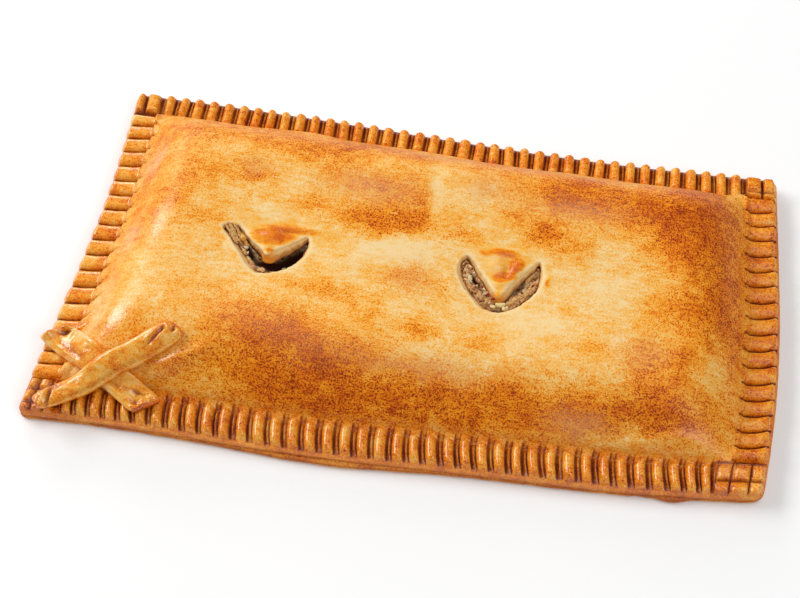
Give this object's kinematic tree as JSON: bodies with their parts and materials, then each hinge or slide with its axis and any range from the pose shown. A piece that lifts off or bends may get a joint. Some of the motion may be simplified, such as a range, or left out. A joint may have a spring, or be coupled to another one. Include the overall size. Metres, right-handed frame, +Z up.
{
  "type": "chicken empanada",
  "caption": "Flat oblong baked pie: dough sheets crimped together all round over a chicken filling, with V-shaped steam vents and crossed dough strips on one corner.",
  "frame": {"origin": "middle of the underside, under the centre of the bounding box", "axes": "+X along the long side, +Y to the back, +Z up; the decorated corner is at -X, -Y"},
  "size_m": [0.3932, 0.222, 0.0373],
  "materials": {
    "base_crust": "matte baked dough, light brown",
    "lid_crust": "egg-washed golden crust, toasted in patches, satin to glossy",
    "filling": "moist shredded chicken with onion and red pepper",
    "strips": "egg-washed golden dough, glossy"
  },
  "bodies": {
    "root": {"base_crust": "base_crust", "lid_crust": "lid_crust", "filling": "filling", "strip_under": "strips", "strip_over": "strips"}
  },
  "joints": []
}
